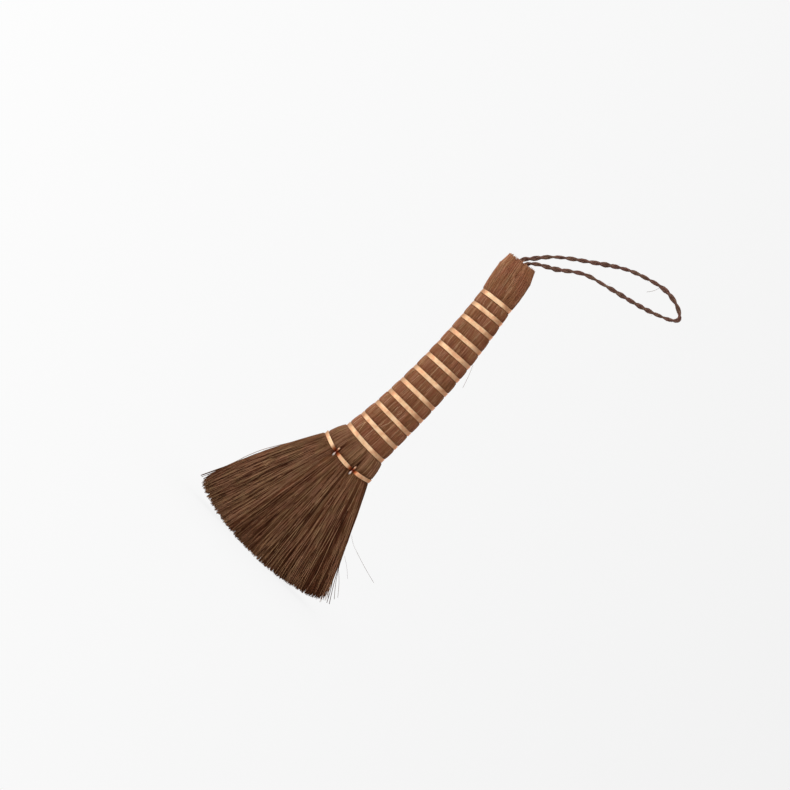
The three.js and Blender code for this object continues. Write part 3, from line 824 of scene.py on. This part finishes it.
def tuft_root(side, word):
    """The dense root inside a tuft, toned darkest as painted shade, which its strands hide at rest."""
    across = np.linspace(*tuft_range(side), 15)
    u = np.concatenate([across, across[::-1]])
    v = np.repeat([-0.66, 0.66], len(across))
    u = u * np.where(np.abs(u) > 0.99, 0.95, 1.0)
    neck = neck_rows(u, v, np.array([4.0, 2.0, 0.0, -2.0]), parted=False)
    tip_x = LEAN + u * FAN_TIP_HALF * 0.95
    t = 0.78 * FILLING_STEPS[None, :, None]
    tip = np.stack([tip_x, tip_depth(u, v) * 0.5, fan_tip_height(tip_x)], -1)[:, None, :]
    rows = np.concatenate([neck, neck[:, -1:] + (tip - neck[:, -1:]) * t], axis=1).transpose(1, 0, 2)
    root = loft_mesh(f"bristle_root_{word}", rows)
    # Painted shade: the root is toned darkest.
    set_tone(root, 0.0)
    dress_tuft(root)


def edge_fibres():
    """Single strands that stand a little apart along the last half of the fan's left edge."""
    count = 10
    u = -np.linspace(0.965, 0.93, count)
    v = rng.uniform(-0.8, 0.8, count)
    neck = neck_rows(u, v, np.array([2.0, 0.0, -1.9]))
    tip_x = LEAN + u * FAN_TIP_HALF + rng.normal(0, 0.15, count)
    tip_z = fan_tip_height(tip_x) + rng.uniform(-0.6, 1.2, count)
    reach = rng.uniform(0.93, 1.0, count)
    away = -np.linspace(1.5, -0.4, count)
    free = fan_rows(neck[:, -1], u, tip_x, tip_depth(u, v), tip_z, away, reach)
    free[:, :, :2] += fan_sway(count, 0.2)
    return np.concatenate([neck, free], axis=1), rng.uniform(0.2, 0.26, count), rng.uniform(0.25, 0.6, count)


def splayed_fibres():
    """Fibres that leave the fan's right edge low down and splay away from it."""
    t = np.linspace(0, 1, 14)[:, None]
    paths, radii = [], []
    for start, tip, bow, radius in (
        ((36.0, -2, -38.5), (52.3, -3, -68.0), -0.8, 0.24), ((39.5, 1, -46.0), (52.6, 0, -64.4), -0.7, 0.18),
        ((40.5, -1, -48.9), (53.2, -2, -62.0), 0.6, 0.13), ((42.1, 0, -54.2), (51.0, 1, -69.0), 0.4, 0.24),
        ((44.6, 2, -60.2), (50.0, 2, -67.0), -0.3, 0.2), ((33.5, -1, -31.0), (42.5, -2, -35.6), -0.6, 0.075),
        ((42.5, -2, -35.6), (62.0, -2, -41.2), -0.3, 0.1), ((39.0, 1, -42.5), (49.7, 1, -50.6), 0.5, 0.065),
    ):
        straight = np.array(start) + (np.array(tip) - np.array(start)) * t
        paths.append(straight + np.array([bow, 0, bow]) * np.sin(math.pi * t) * 0.7)
        radii.append(radius)
    return np.array(paths), np.array(radii), rng.uniform(0.0, 0.4, len(paths))


def stray_fibres():
    for word, (paths, radii, tones) in (("left", edge_fibres()), ("right", splayed_fibres())):
        piece = strand_mesh(
            f"stray_fibres_{word}", paths, radii[:, None],
            attributes={"tone": tones, "warmth": warmths(len(tones))},
        )
        dress_tuft(piece)


# ---- copper ----

TURNS = 7


def wound_wire(name, height, width, steps, node, pinched_and_shaded=False):
    """A wire wound side by side round the body, as one helix whose ends dive under the turns."""
    wire, count = width / TURNS, TURNS * steps
    angle = np.linspace(0.5 * math.pi, 0.5 * math.pi + TAU * TURNS, count + 1)
    share = np.linspace(0, 1, len(angle))
    lift = (width - wire) * (share - 0.5)
    ends = np.exp(-((share * count / 3.0) ** 2)) + np.exp(-(((1 - share) * count / 3.0) ** 2))
    path = outline_point(np.full(angle.shape, height), angle, -wire * 0.3 - 0.8 * ends, lift)
    pulled = np.zeros(angle.shape)
    if pinched_and_shaded:
        pulled = near_stitch(path[:, 0], 0.0)
        path[:, 2] -= lift * 0.42 * pulled
        path[:, 1] -= np.sign(path[:, 1]) * 0.35 * pulled
    radius = np.full((1, len(angle)), wire * 0.53)
    # Painted shade: the collar wire is darkened where the stitches pull it in.
    piece = strand_mesh(
        name, path[None], radius, sides=8, reference=(0, 0, 1), flatten=0.7,
        attributes={"recess_shade": np.minimum(1.15 * pulled, 1)[None]},
    )
    fix_to_handle(piece, COPPER, node)


def windings():
    for number, height in enumerate(BAND_HEIGHTS, 1):
        wound_wire(f"winding_wire_{number:02d}", height, BAND_WIDTH, 72, f"handle_winding_{number:02d}")
    wound_wire("collar_wire", 0.0, COLLAR_WIDTH, 120, "collar_winding", pinched_and_shaded=True)


def squared(value):
    """Bends a circle's sine or cosine towards a square with round corners."""
    return np.sign(value) * np.abs(value) ** 0.6


def stitches():
    """Each stitch: a doubled wire through the brush and over the collar, with a painted highlight where it
    enters the fibre, strongest below the collar.
    """
    turns, steps = 2, 64
    for word in ("left", "right"):
        low, high = (np.array(corner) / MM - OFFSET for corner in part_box(f"collar_stitch_{word}"))
        centre = (low + high) / 2
        reach_y = (high[1] - low[1]) / 2 - 0.5
        reach_z = (high[2] - low[2]) / 2 - 0.6
        angle = np.linspace(0, TAU * turns, steps * turns + 1)
        rise = squared(np.sin(angle)) * reach_z
        over = np.exp(-((rise / 1.5) ** 2))  # 1 on the collar itself
        splay = np.where(np.arange(len(angle)) < steps, -1, 1) * 0.16 * (1 - over)
        out = np.sign(np.cos(angle)) * (np.abs(squared(np.cos(angle))) * reach_y - 0.25 * over)
        path = np.stack([centre[0] + splay, centre[1] + out, centre[2] + rise], -1)
        ends = np.clip((np.abs(rise) / reach_z - 0.5) / 0.5, 0, 1)
        radius = 0.50 - 0.26 * over - 0.34 * ends**1.5
        # Painted highlight on the stitch's ends, strongest below the collar, none where it lies over the
        # collar.
        painted_highlight = (1 - over) * (0.55 - 0.45 * np.sign(rise))
        # Painted shade: the part of the stitch that lies over the collar, in its recess, is darkened.
        piece = strand_mesh(
            f"stitch_wire_{word}", path[None], radius[None], sides=8, reference=(1, 0, 0),
            attributes={"recess_shade": over[None], "painted_highlight": painted_highlight[None]},
        )
        fix_to_handle(piece, COPPER, f"collar_stitch_{word}")


# ---- cord ----

SWING = np.array([float(middle_x(HANDLE_TOP)), 0.0, HANDLE_TOP + 0.5])
EYE_HINGE = np.array([20.5, 0.0, 175.0])
EYE_ANGLE = math.radians(16)
ALONG = np.array([math.cos(EYE_ANGLE), 0, math.sin(EYE_ANGLE)])
APART = np.array([-ALONG[2], 0, ALONG[0]])
CORD_PITCH = 13.0  # of the two plies round each other
PLY_PITCH = 8.5  # of the strands in a ply, twisted the other way
PLY_OFFSET = 0.58
PLY_CORE, PLY_REACH = 0.64, 0.62  # radii of a ply's core and of the ring of strands round it
PLY_STRANDS = 17
CORD_STEP = 0.55


def catmull(points, samples=40):
    """A smooth curve through the points."""
    points = np.asarray(points, float)
    ends = np.concatenate([[2 * points[0] - points[1]], points, [2 * points[-1] - points[-2]]])
    out = []
    for i in range(1, len(ends) - 2):
        t = np.linspace(0, 1, samples, endpoint=False)[:, None]
        a, b, c, d = ends[i - 1], ends[i], ends[i + 1], ends[i + 2]
        bend = (2 * a - 5 * b + 4 * c - d) * t**2 + (3 * b - a - 3 * c + d) * t**3
        out.append(0.5 * (2 * b + (c - a) * t + bend))
    return np.concatenate(out + [points[-1:]])


def cord_middle():
    """The cord's middle line from one buried end round the eye to the other, and its two seam indices."""
    def neck(side):
        return [
            [SWING[0] - side * 1.0, 0, SWING[2] - 9], [SWING[0] - side * 1.75, 0, SWING[2] + 0.6],
            [SWING[0] + 4 - side * 2, 0, SWING[2] + 6 + side * 0.2],
            [SWING[0] + 14 - side * 2.4, 0, SWING[2] + 14.5 + side * 2.6],
        ]
    seam_up, seam_down = EYE_HINGE + 4 * APART, EYE_HINGE - 4 * APART
    eye = [[37, 0.6, 190.5], [52, 1, 196.2], [63, 0.8, 198.2], [73, 0.4, 196.4], [79, 0, 192.2],
           [76.5, -0.3, 188.2], [65.5, -0.6, 183.4], [53.7, -0.8, 179.8], [36.5, -0.4, 175.6]]
    fine = catmull(neck(1) + [seam_up] + eye + [seam_down] + neck(-1)[::-1])
    arc = np.concatenate([[0], np.cumsum(np.linalg.norm(np.diff(fine, axis=0), axis=1))])
    even = np.linspace(0, arc[-1], int(arc[-1] / CORD_STEP))
    line = np.stack([np.interp(even, arc, fine[:, k]) for k in range(3)], -1)
    seams = [int(np.argmin(np.linalg.norm(line - seam, axis=1))) for seam in (seam_up, seam_down)]
    return line, even, seams


def cord():
    """Two plies twisted round each other, each a core with a ring of strands, cut at the two joints."""
    line, length, (up, down) = cord_middle()
    tangent = unit(np.gradient(line, axis=0))
    across = np.array([0.0, 1.0, 0.0])
    in_plane = unit(np.cross(np.broadcast_to(across, tangent.shape), tangent))

    def round_line(turn):
        return in_plane * np.cos(turn)[:, None] + across * np.sin(turn)[:, None]

    wobble = 0.15 * np.sin(length / 7.3) + 0.12 * np.sin(length / 3.1 + 1)
    parts = (("neck_upper", 0, up), ("eye", up, down), ("neck_lower", down, len(line) - 1))
    for ply in (0, 1):
        turn = ply * math.pi + TAU * length / CORD_PITCH + 0.5 * np.sin(length / 11)
        ply_line = line + (PLY_OFFSET + wobble * 0.4)[:, None] * round_line(turn)
        fullness = 1 + wobble
        strands, radii = [ply_line], [PLY_CORE * fullness]
        for k in range(PLY_STRANDS):
            start = TAU * k / PLY_STRANDS
            spin = start - TAU * length / PLY_PITCH + rng.uniform(-0.3, 0.3)
            spin = spin + 0.3 * np.sin(length / rng.uniform(4, 9))
            reach = PLY_REACH * fullness + rng.normal(0, 0.03)
            strands.append(ply_line + reach[:, None] * round_line(spin))
            radii.append(np.full(len(length), rng.uniform(0.11, 0.17)))
        strands, radii = np.array(strands), np.array(radii)
        tones = np.clip(rng.normal(0.5, 0.2, len(strands)), 0, 1)
        tones[0] = 0.3  # the core
        looks = {"tone": tones, "warmth": warmths(len(strands))}
        for part, first, last in parts:
            piece = strand_mesh(
                f"cord_{part}_fibres_{ply + 1}", strands[:, first : last + 1], radii[:, first : last + 1],
                sides=5, attributes=looks,
            )
            dress_cord(piece, part)
            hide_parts(f"cord_{part}_ply_{ply + 1}")
    cord_hairs(line, up, down)


def dress_cord(piece, part):
    """Dress a length of the cord and bake its transform into its mesh, the eye and the necks alike."""
    dress(piece, CORD_FIBRE)
    if part == "eye":
        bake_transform(piece)
    else:
        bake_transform(piece)


def cord_hairs(line, up, down):
    """Short loose hairs on the cord's eye, and one longer one inside it."""
    hairs = []
    t = np.linspace(0, 1, 8)[:, None]
    for index in rng.integers(up + 20, down - 5, 26):
        tangent = unit(line[index + 1] - line[index - 1])
        out = unit(rng.normal(0, 1, 3) + 0.01)
        direction = unit(tangent * rng.choice([-1, 1]) * 1.2 + out)
        size = rng.uniform(1.5, 5.0)
        curl = unit(np.cross(direction, tangent)) * (0.8 * t**2)
        hairs.append(line[index] + direction * size * t + curl)
    root, tip = np.array([58.6, 0.8, 197.6]), np.array([54.7, 0.6, 189.8])
    hairs.append(root + (tip - root) * t + np.array([0.5, 0, -0.5]) * np.sin(math.pi * t))
    radii = np.append(rng.uniform(0.03, 0.05, len(hairs) - 1), 0.11)
    piece = strand_mesh(
        "cord_hairs", np.array(hairs), radii[:, None],
        attributes={"tone": rng.uniform(0.2, 0.7, len(hairs)), "warmth": warmths(len(hairs))},
    )
    dress_cord(piece, "eye")


# ---- carried-over CAD nodes ----


def dress_nodes():
    """Give every CAD node its material, those inside the brush and those that visual pieces replace."""
    for name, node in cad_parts.items():
        if name == "skewer":
            dress(node, BAMBOO)
        elif name.startswith("cord"):
            dress(node, CORD_FIBRE)
        else:
            dress(node, COPPER)


# ---- stage ----


def backdrop_tone(shade):
    """The pale backdrop, as the camera sees it: a little darker towards the lower right of the picture."""
    window = shade.node("ShaderNodeTexCoord").outputs["Window"]
    split = shade.node("ShaderNodeSeparateXYZ", Vector=window).outputs
    falling = shade.math("MULTIPLY", split["X"], -0.055)
    rising = shade.math("MULTIPLY", split["Y"], 0.040)
    return shade.math("ADD", 0.942, shade.math("ADD", falling, rising))


class WorldShader(Shader):
    """A Shader on the world's node tree."""

    def __init__(self, world):
        world.use_nodes = True
        self.tree = world.node_tree
        self.surface = self.tree.nodes["Background"]


def studio_world():
    """Light from a soft tent that is bright in front and to the left and dim on the right."""
    world = bpy.data.worlds.new("studio")
    bpy.context.scene.world = world
    shade = WorldShader(world)
    direction = shade.node("ShaderNodeTexCoord").outputs["Generated"]
    split = shade.node("ShaderNodeSeparateXYZ", Vector=direction).outputs
    across = shade.math("ADD", shade.math("MULTIPLY", split["X"], 0.5), 0.5)
    greys = ((0.0, 0.76), (0.2, 0.70), (0.38, 0.98), (0.5, 0.96), (0.6, 0.93), (0.76, 0.30), (1.0, 0.34))
    tent = shade.ramp(across, [(place, (value,) * 3) for place, value in greys])
    behind = shade.node("ShaderNodeClamp", Value=shade.math("MULTIPLY", split["Y"], 2.0)).outputs[0]
    shade.put(shade.surface, "Color", shade.mix(behind, tent, (0.7, 0.7, 0.7, 1)))
    seen = shade.node("ShaderNodeBackground", Color=backdrop_tone(shade))
    ray = shade.node("ShaderNodeLightPath").outputs["Is Camera Ray"]
    choose = shade.node("ShaderNodeMixShader")
    for key, socket in (("#0", ray), ("#1", shade.surface.outputs[0]), ("#2", seen.outputs[0])):
        shade.put(choose, key, socket)
    shade.put(shade.tree.nodes["World Output"], "Surface", choose.outputs[0])


def pale_floor():
    """A plain pale floor that glows instead of taking light: the backdrop's tone to the camera, with a faint
    painted shadow where the brush meets it, and a grey glow that lights the brush from below.
    """
    low, reach = CAD_BOX[0][2] - 0.0005, 2.0
    mesh = bpy.data.meshes.new("floor")
    corners = [(x * reach, y * reach, low) for x, y in ((-1, -1), (1, -1), (1, 1), (-1, 1))]
    mesh.from_pydata(corners, [], [(0, 1, 2, 3)])
    floor = new_object("floor", mesh)
    shade = Shader("pale_floor")
    # Painted shadow: ambient occlusion darkens the floor a little near the brush.
    occlusion = shade.node("ShaderNodeAmbientOcclusion", Distance=0.09).outputs["AO"]
    painted_contact_shadow = shade.math("ADD", 0.93, shade.math("MULTIPLY", occlusion, 0.07))
    seen = shade.math("MULTIPLY", backdrop_tone(shade), painted_contact_shadow)
    # The floor glows: the camera sees the backdrop's tone, and other rays see an even grey glow that lights
    # the brush from below.
    ray = shade.node("ShaderNodeLightPath").outputs["Is Camera Ray"]
    glow = shade.node("ShaderNodeEmission", Color=shade.mix(ray, (0.6, 0.6, 0.6, 1), seen))
    shade.put(shade.tree.nodes["Material Output"], "Surface", glow.outputs[0])
    dress(floor, shade.material)


def stage():
    """The floor, the soft tent and two soft lamps: the main one from the front left, a weak one behind."""
    pale_floor()
    studio_world()
    aim = Vector((0.0, 0.0, 0.05))
    for name, place, size, power in (
        ("key", (-0.9, -0.9, 0.8), 1.8, 14.0), ("back", (0.2, 0.9, 0.6), 0.8, 5.0),
    ):
        data = bpy.data.lights.new(name, "AREA")
        data.size, data.energy = size, power
        lamp = bpy.data.objects.new(name, data)
        lamp.location = place
        lamp.rotation_euler = (aim - Vector(place)).to_track_quat("-Z", "Y").to_euler()
        bpy.context.collection.objects.link(lamp)


def camera():
    """Square on to the front face, turned so that the handle runs to the upper right."""
    look_at = np.array([-6.2, 0.0, 44.3]) + OFFSET
    distance, field = 0.8, 0.458  # the field's width is at the brush
    right = unit(np.array([1.0, 0, 1.0]))
    up = unit(np.array([-1.0, 0, 1.0]))
    back = np.array([0.0, -1.0, 0.0])
    place = look_at * MM + back * distance
    data = bpy.data.cameras.new("camera")
    data.sensor_width = 36.0
    data.lens = data.sensor_width * distance / field
    data.clip_start = 0.01
    eye = bpy.data.objects.new("camera", data)
    turn = Matrix((right, up, back)).transposed().to_4x4()
    eye.matrix_world = Matrix.Translation(Vector(place)) @ turn
    bpy.context.collection.objects.link(eye)
    bpy.context.scene.camera = eye
    bpy.context.scene.view_settings.view_transform = "Standard"


stem_strands()
handle_hairs()
handle_packing()
handle_end()
for side, word in SIDES:
    points = gathering_points(side)
    tuft_strands(side, word, points)
    tuft_filling(side, word, points)
    tuft_root(side, word)
stray_fibres()
windings()
stitches()
cord()
dress_nodes()
stage()
camera()
